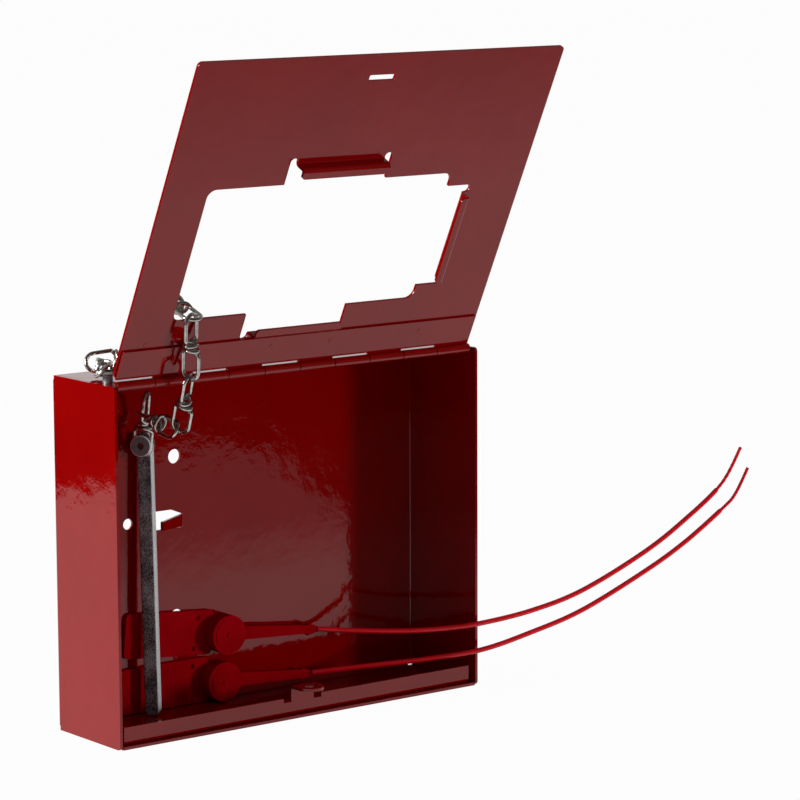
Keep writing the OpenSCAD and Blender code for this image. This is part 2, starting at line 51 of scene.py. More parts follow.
def from_back(point):
    """A point in millimetres from the back of the case, in metres in the part's frame."""
    return Vector((point[0], point[1] + CASE_DEPTH / 2, point[2])) * MM


def turned(angle, axis):
    return Matrix.Rotation(math.radians(angle), 4, axis)


BAR_FACING = turned(-BAR_LEAN, "X") @ turned(-BAR_TURN, "Z")


# Camera: its turn in degrees, its place in metres and its lens in pixels of the picture
VIEW_AZIMUTH, VIEW_ELEVATION, VIEW_ROLL = 37.695, 8.709, -0.248
CAMERA_PLACE = (-0.6828, -0.9556, 0.2861)
LENS_PIXELS, IMAGE_PIXELS = 3501.4, 800
SENSOR_MM = 36
# The camera sees this far, in metres
SEES_TO = 100


def set_camera():
    azimuth, elevation, roll = (math.radians(a) for a in (VIEW_AZIMUTH, VIEW_ELEVATION, VIEW_ROLL))
    ahead = Vector((
        math.sin(azimuth) * math.cos(elevation),
        math.cos(azimuth) * math.cos(elevation),
        -math.sin(elevation),
    ))
    level = Vector((math.cos(azimuth), -math.sin(azimuth), 0))
    above = level.cross(ahead)
    right = level * math.cos(roll) + above * math.sin(roll)
    up = above * math.cos(roll) - level * math.sin(roll)
    data = bpy.data.cameras.new("camera")
    data.sensor_width = SENSOR_MM
    data.lens = LENS_PIXELS / IMAGE_PIXELS * SENSOR_MM
    data.clip_end = SEES_TO
    camera = bpy.data.objects.new("camera", data)
    turn = Matrix((right, up, -ahead)).transposed().to_4x4()
    camera.matrix_world = Matrix.Translation(CAMERA_PLACE) @ turn
    bpy.context.scene.collection.objects.link(camera)
    bpy.context.scene.camera = camera


set_camera()


# Materials
def linear(code):
    """An sRGB hex value as a linear colour."""
    parts = [int(code[i:i + 2], 16) / 255 for i in (1, 3, 5)]
    return [c / 12.92 if c <= 0.04045 else ((c + 0.055) / 1.055) ** 2.4 for c in parts] + [1]


def add(tree, kind, inputs=None, **settings):
    """Adds a node; inputs maps a socket's name or number to a value or to another node's output."""
    node = tree.nodes.new(kind)
    for name, value in settings.items():
        setattr(node, name, value)
    for socket, value in (inputs or {}).items():
        if isinstance(value, bpy.types.NodeSocket):
            tree.links.new(value, node.inputs[socket])
        else:
            node.inputs[socket].default_value = value
    return node


def blank_material(name):
    material = bpy.data.materials.new(name)
    material.use_nodes = True
    material.node_tree.nodes.clear()
    return material, material.node_tree


def close(tree, shader):
    add(tree, "ShaderNodeOutputMaterial", {"Surface": shader.outputs[0]})


def set_stops(ramp, *stops):
    """Gives a colour ramp its stops, each a position and an sRGB hex value."""
    for element, (position, code) in zip(ramp.color_ramp.elements, stops):
        element.position = position
        element.color = linear(code)


def per_metre(size_mm):
    """Texture scale that gives a pattern of this size."""
    return 1 / (size_mm * MM)


# Nearly all of a noise pattern lies between these values
NOISE_LOW, NOISE_HIGH = 0.3, 0.7

# Powder coat, sizes in millimetres: orange peel has waves of 1.5 to 2 over slower ones of about 9
PEEL_SIZE, SLOW_PEEL_SIZE, SLOW_PEEL_DEEPER = 1.9, 9, 4
# Cloudy places where the film is thinner, and the fine dust that dulls its gloss
CLOUD_SIZE, DUST_SIZE, DUST_FULL = 30, 0.8, 0.75
COAT_ROUGH_MIN, COAT_ROUGH_MAX = 0.03, 0.08


def powder_coat(name, colour, deep, peel):
    """Glossy polyester powder coat baked on steel: a deep red film whose orange peel makes
    reflections wander, slightly paler where it lies thin."""
    material, tree = blank_material(name)
    place = add(tree, "ShaderNodeTexCoord").outputs["Object"]
    fine = add(tree, "ShaderNodeTexNoise", {
        "Vector": place, "Scale": per_metre(PEEL_SIZE), "Detail": 1.5,
    })
    slow = add(tree, "ShaderNodeTexNoise", {
        "Vector": place, "Scale": per_metre(SLOW_PEEL_SIZE), "Detail": 1,
    })
    cloud = add(tree, "ShaderNodeTexNoise", {"Vector": place, "Scale": per_metre(CLOUD_SIZE), "Detail": 2})
    dust = add(tree, "ShaderNodeTexNoise", {"Vector": place, "Scale": per_metre(DUST_SIZE), "Detail": 3})
    tone = add(tree, "ShaderNodeValToRGB", {"Fac": cloud.outputs["Fac"]})
    set_stops(tone, (NOISE_LOW, deep), (NOISE_HIGH, colour))
    gloss = add(tree, "ShaderNodeMapRange", {
        "Value": dust.outputs["Fac"], "From Min": NOISE_LOW, "From Max": DUST_FULL,
        "To Min": COAT_ROUGH_MIN, "To Max": COAT_ROUGH_MAX,
    })
    slow_wave = add(tree, "ShaderNodeBump", {
        "Height": slow.outputs["Fac"], "Distance": SLOW_PEEL_DEEPER * peel * MM,
    })
    wave = add(tree, "ShaderNodeBump", {
        "Height": fine.outputs["Fac"], "Distance": peel * MM, "Normal": slow_wave.outputs["Normal"],
    })
    film = add(tree, "ShaderNodeBsdfPrincipled", {
        "Base Color": tone.outputs["Color"], "Roughness": gloss.outputs["Result"],
        "IOR": 1.5, "Normal": wave.outputs["Normal"],
    })
    close(tree, film)
    return material


# Noise values at which a metal's grain is dark and pale
GRAIN_DARK, GRAIN_PALE = 0.35, 0.62
# Its roughness in the dark and in the pale grain, as shares of its own, and the grain's rise in mm
GRAIN_ROUGHER, GRAIN_SMOOTHER, GRAIN_RISE = 1.4, 0.8, 0.01


def metal(name, colour, dark, grain_mm, rough, along=(1, 1, 1), metallic=1):
    """Bare or plated steel, with its grain drawn out along one direction."""
    material, tree = blank_material(name)
    place = add(tree, "ShaderNodeTexCoord").outputs["Object"]
    drawn = add(tree, "ShaderNodeMapping", {"Vector": place, "Scale": along})
    grain = add(tree, "ShaderNodeTexNoise", {
        "Vector": drawn.outputs["Vector"], "Scale": per_metre(grain_mm), "Detail": 4,
    })
    tone = add(tree, "ShaderNodeValToRGB", {"Fac": grain.outputs["Fac"]})
    set_stops(tone, (GRAIN_DARK, dark), (GRAIN_PALE, colour))
    gloss = add(tree, "ShaderNodeMapRange", {
        "Value": grain.outputs["Fac"], "From Min": NOISE_LOW, "From Max": NOISE_HIGH,
        "To Min": rough * GRAIN_ROUGHER, "To Max": rough * GRAIN_SMOOTHER,
    })
    marks = add(tree, "ShaderNodeBump", {"Height": grain.outputs["Fac"], "Distance": GRAIN_RISE * MM})
    close(tree, add(tree, "ShaderNodeBsdfPrincipled", {
        "Base Color": tone.outputs["Color"], "Metallic": metallic, "Roughness": gloss.outputs["Result"],
        "Normal": marks.outputs["Normal"],
    }))
    return material


# Mill scale in millimetres: specks, the patches that they gather in, and how deep the pits are
SPECK_SIZE, PATCH_SIZE, PIT_DEPTH = 0.45, 7, 0.05
# How much the patches add to the specks, and from what sum the steel starts to show and is bare
PATCH_SHARE, BARE_FROM, BARE_FULL = 0.4, 0.62, 0.86
SCALE_GREY, BARE_GREY = "#33373B", "#C8CCD0"
SCALE_ROUGH, BARE_ROUGH, SCALE_METALLIC = 0.45, 0.3, 0.05


def rolled_bar(name):
    """Dark hot-rolled steel: blue-grey scale, peppered with bare specks where it has rubbed off."""
    material, tree = blank_material(name)
    place = add(tree, "ShaderNodeTexCoord").outputs["Object"]
    specks = add(tree, "ShaderNodeTexNoise", {
        "Vector": place, "Scale": per_metre(SPECK_SIZE), "Detail": 5, "Roughness": 0.7,
    })
    patches = add(tree, "ShaderNodeTexNoise", {
        "Vector": place, "Scale": per_metre(PATCH_SIZE), "Detail": 3,
    })
    worn = add(tree, "ShaderNodeMath", {
        0: patches.outputs["Fac"], 1: PATCH_SHARE, 2: specks.outputs["Fac"],
    }, operation="MULTIPLY_ADD")
    bare = add(tree, "ShaderNodeMapRange", {
        "Value": worn.outputs["Value"], "From Min": BARE_FROM, "From Max": BARE_FULL,
    })
    tone = add(tree, "ShaderNodeValToRGB", {"Fac": bare.outputs["Result"]})
    set_stops(tone, (0, SCALE_GREY), (1, BARE_GREY))
    gloss = add(tree, "ShaderNodeMapRange", {
        "Value": bare.outputs["Result"], "To Min": SCALE_ROUGH, "To Max": BARE_ROUGH,
    })
    pits = add(tree, "ShaderNodeBump", {"Height": specks.outputs["Fac"], "Distance": PIT_DEPTH * MM})
    close(tree, add(tree, "ShaderNodeBsdfPrincipled", {
        "Base Color": tone.outputs["Color"], "Metallic": SCALE_METALLIC,
        "Roughness": gloss.outputs["Result"], "Normal": pits.outputs["Normal"],
    }))
    return material


# Moulding in millimetres: clouds of the flow, the grain of its skin and how far that rises
FLOW_SIZE, SKIN_SIZE, SKIN_RISE = 6, 0.35, 0.01
# How much light goes into the plastic, and how deep
INNER_LIGHT, INNER_DEPTH = 0.25, 1.5


def moulded_plastic(name, colour, deep, rough, sheen):
    """Injection-moulded polypropylene: a slightly waxy red that lets a little light into it."""
    material, tree = blank_material(name)
    place = add(tree, "ShaderNodeTexCoord").outputs["Object"]
    flow = add(tree, "ShaderNodeTexNoise", {"Vector": place, "Scale": per_metre(FLOW_SIZE), "Detail": 2})
    skin = add(tree, "ShaderNodeTexNoise", {"Vector": place, "Scale": per_metre(SKIN_SIZE), "Detail": 2})
    tone = add(tree, "ShaderNodeValToRGB", {"Fac": flow.outputs["Fac"]})
    set_stops(tone, (NOISE_LOW, deep), (NOISE_HIGH, colour))
    texture = add(tree, "ShaderNodeBump", {"Height": skin.outputs["Fac"], "Distance": SKIN_RISE * MM})
    close(tree, add(tree, "ShaderNodeBsdfPrincipled", {
        "Base Color": tone.outputs["Color"], "Roughness": rough, "Specular IOR Level": sheen,
        "Subsurface Weight": INNER_LIGHT, "Subsurface Scale": INNER_DEPTH * MM,
        "Normal": texture.outputs["Normal"],
    }))
    return material


CASE_RED, CASE_DEEP = "#8C0101", "#840000"
# One red on both, with a little less orange peel on the flat door, so what it mirrors is straighter
red_case = powder_coat("powder_coat_case", CASE_RED, CASE_DEEP, 0.028)
red_door = powder_coat("powder_coat_door", CASE_RED, CASE_DEEP, 0.022)
# Bright and warm, with sharp highlights on each turn of the wire
chain_steel = metal("nickel_plated_wire", "#D8D4CE", "#B9B4AE", 1.2, 0.16)
# Flat grey and a little cloudy, with a soft gleam
rivet_steel = metal("zinc_plated_rivet", "#A6A8AA", "#6E7072", 0.4, 0.28, metallic=0.35)
# Plain wire whose drawing marks run along the pin
pin_steel = metal("drawn_hinge_wire", "#B8B4B0", "#8E8A86", 0.3, 0.22, (0.08, 1, 1))
bar_steel = rolled_bar("rolled_striker_steel")
# The hollow of a tubular rivet, painted nearly black as painted shade in its deep bore
bore_shade_paint = metal("painted_bore_shade", "#0A0A0A", "#050505", 0.4, 0.7)
# Pale and satin: a painted highlight on the bar's side and on the rivets' rims
highlight_steel = metal("painted_highlight_edge", "#F0F2F4", "#D8DADC", 0.5, 0.34, metallic=0.1)
# The seals' bodies are dull, their red darkened as painted shade, and their straps are glossier, their red
# brightened as painted light
seal_plastic = moulded_plastic("polypropylene_seal_painted_shade", "#A60210", "#98010A", 0.5, 0.02)
strap_plastic_lit = moulded_plastic("polypropylene_strap_painted_light", "#FF0C26", "#F4081C", 0.24, 0.5)


# Meshes
def new_piece(name, mesh, material, body, slot):
    piece = bpy.data.objects.new(name, mesh)
    bpy.context.scene.collection.objects.link(piece)
    mesh.materials.clear()
    mesh.materials.append(material)
    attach(piece, body)
    return piece


def finished_mesh(piece):
    """The piece's mesh as its modifiers leave it."""
    graph = bpy.context.evaluated_depsgraph_get()
    return bpy.data.meshes.new_from_object(piece.evaluated_get(graph), depsgraph=graph)


# Points nearer than this, in millimetres, are merged
MERGE_WITHIN = 0.002
# Faces that turn by less than the first angle are one flat face; from the second on, an edge is sharp
FLAT_WITHIN, SHARP_FROM = math.radians(0.6), math.radians(30)
EDGE_STEPS, BORE_SIDES = 2, 20
# Rounded edges take their shading from the faces beside them, the larger the more
LARGE_FACE_WEIGHT = 100
# Faces from this size up, in square millimetres, are flat sheet and no part of a bend
SHEET_FACE = 60


def keep_flat(mesh):
    """Large flat faces keep their own normals, so that what they mirror stays straight."""
    normals = [corner.vector.copy() for corner in mesh.corner_normals]
    for face in mesh.polygons:
        if face.area > SHEET_FACE * MM * MM:
            for corner in face.loop_indices:
                normals[corner] = face.normal.copy()
    mesh.normals_split_custom_set(normals)


def bored(piece, bores):
    """Cuts round holes; each is a middle in metres, a direction, a radius and a depth in mm."""
    for middle, along, radius, depth in bores:
        shape = bmesh.new()
        bmesh.ops.create_cone(
            shape, cap_ends=True, segments=BORE_SIDES, depth=depth * MM,
            radius1=radius * MM, radius2=radius * MM,
            matrix=Matrix.Translation(middle) @ Vector(along).to_track_quat("Z", "Y").to_matrix().to_4x4(),
        )
        mesh = bpy.data.meshes.new("drill")
        shape.to_mesh(mesh)
        shape.free()
        drill = bpy.data.objects.new("drill", mesh)
        bpy.context.scene.collection.objects.link(drill)
        cut = piece.modifiers.new("bore", "BOOLEAN")
        cut.object = drill
        cut.solver = "EXACT"
        yield drill


def rounded_copy(node, edge_mm, bores=()):
    """A node's mesh, merged, its flat faces joined, bored and its sharp edges rounded."""
    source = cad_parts[node].data.copy()
    shape = bmesh.new()
    shape.from_mesh(source)
    bmesh.ops.remove_doubles(shape, verts=shape.verts, dist=MERGE_WITHIN * MM)
    bmesh.ops.dissolve_limit(shape, angle_limit=FLAT_WITHIN, verts=shape.verts, edges=shape.edges)
    shape.to_mesh(source)
    shape.free()
    piece = bpy.data.objects.new("edge_rounding", source)
    bpy.context.scene.collection.objects.link(piece)
    source.shade_smooth()
    drills = list(bored(piece, bores))
    bevel = piece.modifiers.new("edges", "BEVEL")
    bevel.width = edge_mm * MM
    bevel.segments = EDGE_STEPS
    bevel.limit_method = "ANGLE"
    bevel.angle_limit = SHARP_FROM
    bevel.use_clamp_overlap = True
    even = piece.modifiers.new("flat_faces", "WEIGHTED_NORMAL")
    even.weight = LARGE_FACE_WEIGHT
    mesh = finished_mesh(piece)
    keep_flat(mesh)
    for made in (piece, *drills):
        bpy.data.objects.remove(made)
    return mesh


# Each node that keeps its shape and gets round edges: body, material, slot and edge radius in mm
ROUNDED = {
    "case_shell": ("case", red_case, "red_case", 0.2),
    "catch_strip": ("case", red_case, "red_case", 0.2),
    "hinge_case_leaf": ("case", red_case, "red_case", 0.1),
    "hinge_door_leaf": ("door", red_door, "red_door", 0.1),
    "door_panel": ("door", red_door, "red_door", 0.2),
    "chain_rivet": ("case", rivet_steel, "rivet_steel", 0.2),
    "striker_rivet": ("striker", rivet_steel, "rivet_steel", 0.2),
    "striker_bar": ("striker", bar_steel, "bar_steel", 0.15),
    "seal_upper_body": ("case", seal_plastic, "seal_plastic", 0.25),
    "seal_lower_body": ("case", seal_plastic, "seal_plastic", 0.25),
    "seal_upper_cap": ("case", seal_plastic, "seal_plastic", 0.2),
    "seal_lower_cap": ("case", seal_plastic, "seal_plastic", 0.2),
}

# Moulded eyelets between each seal's tag and its chamber, across and up from the back of the case
TAG_FACE = -2.5
EYELET_R, EYELET_DEPTH = 0.85, 1.6
EYELETS = {
    "seal_upper_body": [(-19.4, 30.9), (-21.7, 20.4)],
    "seal_lower_body": [(-22.2, 14.2), (-22.4, 2.5)],
}


def eyelet_holes(node):
    return [
        (from_back((x, TAG_FACE, z)), (0, 1, 0), EYELET_R, EYELET_DEPTH)
        for x, z in EYELETS.get(node, [])
    ]


for node_name, (body, material, slot, edge) in ROUNDED.items():
    mesh = rounded_copy(node_name, edge, eyelet_holes(node_name))
    piece = new_piece(node_name + "_finished", mesh, material, body, slot)
    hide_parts(node_name)

# Inside of the rivets' bores, which get the painted shade: what lies this near the axis, in millimetres
BORE_REACH = 1.15
# The painted highlight on the rim of a rivet's head starts this far out
RIM_HIGHLIGHT_FROM = 3.15
# Places in a rivet's list of materials
IN_BORE, ON_RIM = 1, 2


def finish_rivet(piece, axis):
    """Paints the bore nearly black, as painted shade, and the rim pale, as a painted highlight."""
    corners = [Vector(corner) for corner in piece.bound_box]
    middle = (corners[0] + corners[6]) / 2
    # The bore's nearly black finish is painted shade
    piece.data.materials.append(bore_shade_paint)
    # The rim's pale finish is a painted highlight
    piece.data.materials.append(highlight_steel)
    for face in piece.data.polygons:
        off = face.center - middle
        reach = (off - off.dot(axis) * axis).length / MM
        if reach < BORE_REACH:
            face.material_index = IN_BORE
        elif reach > RIM_HIGHLIGHT_FROM:
            face.material_index = ON_RIM


finish_rivet(bpy.data.objects["striker_rivet_finished"], BAR_FACING @ Vector((0, -1, 0)))
finish_rivet(bpy.data.objects["chain_rivet_finished"], Vector((0, 0, 1)))

# The side of the bar that faces the middle of the case is painted pale, as a painted highlight
HIGHLIGHT_SIDE = BAR_FACING @ Vector((1, 0, 0))
HIGHLIGHT_FROM = 0.45
bar = bpy.data.objects["striker_bar_finished"]
bar.data.materials.append(highlight_steel)
for face in bar.data.polygons:
    face.material_index = int(face.normal.dot(HIGHLIGHT_SIDE) > HIGHLIGHT_FROM)

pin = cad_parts["hinge_pin"]
pin.data.materials.clear()
pin.data.materials.append(pin_steel)


# Spot welds between the hinge's leaf and the door: across, up from the hinge's pin, and the face
# that they show on, which is the leaf's or the door's
LEAF_FACE, PANEL_FACE = -0.8, -1.6
WELDS = [
    (-64.2, 14, PANEL_FACE), (-13.4, 9, LEAF_FACE), (11, 8.7, LEAF_FACE), (48.9, 8.7, LEAF_FACE),
]
WELD_R, WELD_RISE = 0.8, 0.12


def weld_marks():
    lean = turned(DOOR_LEAN, "X")
    shape = bmesh.new()
    for across, up, face in WELDS:
        at = lean @ Vector((across, -face, up))
        place = Matrix.Translation(from_back(HINGE_PIN + at)) @ lean
        bmesh.ops.create_uvsphere(
            shape, u_segments=16, v_segments=8, radius=WELD_R * MM,
            matrix=place @ Matrix.Diagonal((1, WELD_RISE / WELD_R, 1, 1)),
        )
    mesh = bpy.data.meshes.new("weld_marks")
    shape.to_mesh(mesh)
    shape.free()
    mesh.shade_smooth()
    return mesh


new_piece("weld_marks", weld_marks(), red_door, "door", "red_door")


# Chain
WIRE_D, LINK_LEN, LINK_W = 1.35, 24, 7.4
LOOP_R = (LINK_W - WIRE_D) / 2
# The knot: each end of the wire makes one turn round the legs of the other loop
COIL_R, COIL_SQUEEZE = 2.6, 0.7
# The turn ends this clear of the other end's turn, and climbs this much on its way there
COIL_CLEAR, COIL_CLIMB = 0.05, 0.35
COIL_END = WIRE_D / 2 + COIL_CLEAR
COIL_TOP = COIL_END + COIL_CLIMB
# The wire swings this far round, in degrees, while it comes in from the loop, and then makes its turn
COIL_LEAD = 50
LEG_END, LEG_MIDDLE = 2.8, 5.2
ARCH = LINK_LEN / 2 - WIRE_D / 2 - LOOP_R
LEG_SHARES = (0, 0.25, 0.5, 0.75)
ARCH_STEPS, COIL_STEPS = 8, 8
WIRE_SIDES, WIRE_STEPS = 14, 3

# Left end of the hinge pin's line, from which the links' middles are measured
CHAIN_START = HINGE_PIN - Vector((CASE_WIDTH / 2, 0, 0))
# Where the links lie and how: the middle of each, then its tilt, its turn and its roll. They lie up to
# 2.2 mm from the solid links that they stand for, and are rolled so that both loops of each one show
LINK_MIDDLES = [
    (7.9, 15.6, 3.9), (16.8, 19.6, 5.9), (27, 11.8, 16.8), (27, -0.6, 24.1),
    (26, -8.4, 11.7), (28.1, -1.1, -7.8), (28.4, 14.6, -16.1),
]
LINK_ANGLES = [
    (94, 56, -41), (97, 156, 20), (162, 109, -20), (106, -94, -87),
    (14, -118, -41), (27, -104, -47), (83, 87, -65),
]
LINK_COUNT = len(LINK_MIDDLES) + 1
# Where the last link hangs on the striker bar's rivet
LAST_LINK_AT, LAST_LINK_LEAN, LAST_LINK_UP = Vector((0, -3.02, 92.6)), 10, 7.6


def ease(u):
    """From 0 to 1 with a soft start and a soft end."""
    return (1 - math.cos(math.pi * u)) / 2


def lerp(a, b, u):
    return a + (b - a) * u


def half_link():
    """From the middle of the knot up the core, round the loop and down into its coil."""
    points = [(0, 0, 0), (0, 0, COIL_END)]
    points += [(LOOP_R * ease(u), 0, lerp(COIL_TOP, LEG_END, u)) for u in LEG_SHARES]
    points += [(LOOP_R, 0, LEG_END), (LOOP_R, 0, LEG_MIDDLE)]
    for step in range(ARCH_STEPS + 1):
        a = math.pi * step / ARCH_STEPS
        points.append((LOOP_R * math.cos(a), 0, ARCH + LOOP_R * math.sin(a)))
    points.append((-LOOP_R, 0, LEG_MIDDLE))
    for u in (*LEG_SHARES, 1):
        a = math.radians(180 + COIL_LEAD * u * u)
        r = lerp(LOOP_R, COIL_R, ease(u))
        squeeze = lerp(1, COIL_SQUEEZE, u)
        points.append((r * math.cos(a), squeeze * r * math.sin(a), lerp(LEG_END, COIL_TOP, u)))
    for step in range(1, COIL_STEPS + 1):
        u = step / COIL_STEPS
        a = math.radians(180 + COIL_LEAD + 360 * u)
        place = (COIL_R * math.cos(a), COIL_SQUEEZE * COIL_R * math.sin(a), lerp(COIL_TOP, COIL_END, u))
        points.append(place)
    return points


def link_wire():
    """One link's wire: two like halves, a quarter turn apart."""
    half = half_link()
    return half[:0:-1] + [(y, x, -z) for x, y, z in half]


def link_places():
    """Each link's middle and turn, with the last one hung on the bar's rivet."""
    places = []
    for middle, (tilt, turn, roll) in zip(LINK_MIDDLES, LINK_ANGLES):
        at = from_back(CHAIN_START + Vector(middle))
        places.append(Matrix.Translation(at) @ turned(turn, "Z") @ turned(tilt, "Y") @ turned(roll, "Z"))
    upright = Matrix.Translation(from_back(BAR_FOOT)) @ BAR_FACING
    lean = turned(LAST_LINK_LEAN, "X") @ turned(LAST_LINK_LEAN, "Y")
    up = Matrix.Translation((0, 0, LAST_LINK_UP * MM)) @ turned(90, "Z")
    places.append(upright @ Matrix.Translation(LAST_LINK_AT * MM) @ lean @ up)
    return places


def wire_curve():
    data = bpy.data.curves.new("link_wire", "CURVE")
    data.dimensions = "3D"
    points = link_wire()
    spline = data.splines.new("POLY")
    spline.points.add(len(points) - 1)
    for point, place in zip(spline.points, points):
        point.co = (*(Vector(place) * MM), 1)
    wire = bpy.data.objects.new("link_wire", data)
    bpy.context.scene.collection.objects.link(wire)
    return wire


def chain_tree():
    """Puts one knotted link of wire at each point, turned by the point's own angles."""
    tree = bpy.data.node_groups.new("knotted_chain", "GeometryNodeTree")
    face = tree.interface
    face.new_socket("Geometry", in_out="INPUT", socket_type="NodeSocketGeometry")
    face.new_socket("Wire", in_out="INPUT", socket_type="NodeSocketObject")
    face.new_socket("Wire Diameter", in_out="INPUT", socket_type="NodeSocketFloat")
    face.new_socket("Sides", in_out="INPUT", socket_type="NodeSocketInt")
    face.new_socket("Finish", in_out="INPUT", socket_type="NodeSocketMaterial")
    face.new_socket("Geometry", in_out="OUTPUT", socket_type="NodeSocketGeometry")
    given = add(tree, "NodeGroupInput").outputs
    wire = add(tree, "GeometryNodeObjectInfo", {"Object": given["Wire"]})
    bent = add(tree, "GeometryNodeCurveSplineType", {
        "Curve": wire.outputs["Geometry"],
    }, spline_type="CATMULL_ROM")
    fine = add(tree, "GeometryNodeSetSplineResolution", {
        "Geometry": bent.outputs["Curve"], "Resolution": WIRE_STEPS,
    })
    radius = add(tree, "ShaderNodeMath", {0: given["Wire Diameter"], 1: 0.5}, operation="MULTIPLY")
    section = add(tree, "GeometryNodeCurvePrimitiveCircle", {
        "Resolution": given["Sides"], "Radius": radius.outputs["Value"],
    })
    link = add(tree, "GeometryNodeCurveToMesh", {
        "Curve": fine.outputs["Geometry"], "Profile Curve": section.outputs["Curve"], "Fill Caps": True,
    })
    angles = add(tree, "GeometryNodeInputNamedAttribute", {"Name": "angles"}, data_type="FLOAT_VECTOR")
    chain = add(tree, "GeometryNodeInstanceOnPoints", {
        "Points": given["Geometry"], "Instance": link.outputs["Mesh"],
        "Rotation": angles.outputs["Attribute"],
    })
    real = add(tree, "GeometryNodeRealizeInstances", {"Geometry": chain.outputs["Instances"]})
    smooth = add(tree, "GeometryNodeSetShadeSmooth", {"Geometry": real.outputs["Geometry"]})
    finish = add(tree, "GeometryNodeSetMaterial", {
        "Geometry": smooth.outputs["Geometry"], "Material": given["Finish"],
    })
    add(tree, "NodeGroupOutput", {"Geometry": finish.outputs["Geometry"]})
    return tree


def set_inputs(modifier, values):
    for item in modifier.node_group.interface.items_tree:
        if item.in_out == "INPUT" and item.name in values:
            modifier[item.identifier] = values[item.name]


def knotted_chain():
    places = link_places()
    mesh = bpy.data.meshes.new("link_middles")
    mesh.from_pydata([p.to_translation() for p in places], [], [])
    angles = mesh.attributes.new("angles", "FLOAT_VECTOR", "POINT")
    for entry, place in zip(angles.data, places):
        entry.vector = place.to_euler()
    holder = bpy.data.objects.new("link_middles", mesh)
    bpy.context.scene.collection.objects.link(holder)
    wire = wire_curve()
    modifier = holder.modifiers.new("chain", "NODES")
    modifier.node_group = chain_tree()
    set_inputs(modifier, {
        "Wire": wire, "Wire Diameter": WIRE_D * MM, "Sides": WIRE_SIDES, "Finish": chain_steel,
    })
    bpy.context.view_layer.update()
    made = finished_mesh(holder)
    bpy.data.objects.remove(holder)
    bpy.data.objects.remove(wire)
    return made


chain = new_piece("knotted_chain", knotted_chain(), chain_steel, "case", "chain_steel")
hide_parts(*["chain_link_%d" % n for n in range(1, LINK_COUNT + 1)])


# Seals: the straps' routes from neck to tip, from the back of the case
UPPER_ROUTE = [
    (29.2, -5.4, 20.8), (41.3, -14, 20), (53.9, -23.6, 19.8), (65.1, -32.4, 20.7), (74.4, -40.4, 22.6),
    (92.9, -46, 25.6), (113.1, -50, 30.9), (138.5, -54, 42), (155.4, -57, 52.3), (171.3, -59, 63.9),
    (179.8, -60, 76.6),
]
LOWER_ROUTE = [
    (26.6, -5.7, 5.6), (36.1, -12, 6.8), (47.5, -20, 8.2), (59.4, -28.6, 9.8), (74.4, -40.6, 13.1),
    (92.9, -46, 17.8), (113.2, -50, 23.8), (138.6, -54, 34.9), (155.5, -57, 44.1), (172.5, -59, 55.1),
    (177.5, -60, 59.9), (182.5, -61, 68.9),
]
# A strap's diameter, and the share of it that is left at the far end
STRAP_D, STRAP_TAPER = 1.9, 0.9
STRAP_STEPS, STRAP_SIDES = 24, 12
# Share of the strap's length that is the beaded tip, its thickness, and its beads
TIP_SHARE, TIP_THIN, BEAD_PITCH, BEAD_RISE = 0.1, 0.62, 1.1, 0.14
# Only the rims of a strap's two end faces are sharper than this, in degrees
ROUND_WITHIN = 50


def smooth_route(route, steps):
    """A smooth curve through the points of a route."""
    points = [Vector(p) for p in route]
    last = len(points) - 1
    curve = []
    for i in range(last):
        a, b, c, d = (points[min(max(i + k, 0), last)] for k in (-1, 0, 1, 2))
        for k in range(steps + (i == last - 1)):
            u = k / steps
            curve.append(0.5 * (
                2 * b + (c - a) * u + (2 * a - 5 * b + 4 * c - d) * u * u
                + (3 * b - a - 3 * c + d) * u * u * u
            ))
    return curve


def tube(name, path, radii, sides):
    """A closed round rod along a path of points, with one radius for each point."""
    shape = bmesh.new()
    rings = []
    side = None
    for i, point in enumerate(path):
        ahead = (path[min(i + 1, len(path) - 1)] - path[max(i - 1, 0)]).normalized()
        side = Vector((0, 0, 1)) if side is None else side
        side = (side - side.dot(ahead) * ahead).normalized()
        other = ahead.cross(side)
        ring = []
        for k in range(sides):
            a = 2 * math.pi * k / sides
            ring.append(shape.verts.new(point + radii[i] * (math.cos(a) * side + math.sin(a) * other)))
        rings.append(ring)
    for near, far in zip(rings, rings[1:]):
        for k in range(sides):
            n = (k + 1) % sides
            shape.faces.new((near[k], near[n], far[n], far[k]))
    shape.faces.new(rings[0][::-1])
    shape.faces.new(rings[-1])
    bmesh.ops.recalc_face_normals(shape, faces=shape.faces)
    mesh = bpy.data.meshes.new(name)
    shape.to_mesh(mesh)
    shape.free()
    mesh.shade_smooth()
    mesh.set_sharp_from_angle(angle=math.radians(ROUND_WITHIN))
    return mesh


def strap(name, route, node):
    """A seal's pull-tight strap, which tapers a little and ends in a thin beaded tip."""
    path = [from_back(p) for p in smooth_route(route, STRAP_STEPS)]
    lengths = [0]
    for a, b in zip(path, path[1:]):
        lengths.append(lengths[-1] + (b - a).length)
    total = lengths[-1]
    radii = []
    for run in lengths:
        radius = STRAP_D / 2 * lerp(1, STRAP_TAPER, run / total)
        if run > total * (1 - TIP_SHARE):
            bead = 0.5 - 0.5 * math.cos(2 * math.pi * run / (BEAD_PITCH * MM))
            radius *= TIP_THIN + BEAD_RISE * bead
        radii.append(radius * MM)
    mesh = tube(name, path, radii, STRAP_SIDES)
    piece = new_piece(name, mesh, strap_plastic_lit, "case", "seal_strap")
    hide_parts(node)
    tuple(path[0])


strap("upper_strap", UPPER_ROUTE, "seal_upper_strap")
strap("lower_strap", LOWER_ROUTE, "seal_lower_strap")


# Stage, in metres
FLOOR_SIZE = 60
FLOOR_GREY = "#D8D8D8"
# Share of the floor that the camera sees as plain white: the rest holds the box's shadow
FLOOR_WHITE = 0.97
# The pale table that glossy paint mirrors ends this far from the box
TABLE_REACH, TABLE_FADE = 0.515, 0.015
TABLE_LIGHT, BEYOND_LIGHT = 0.74, 0.01
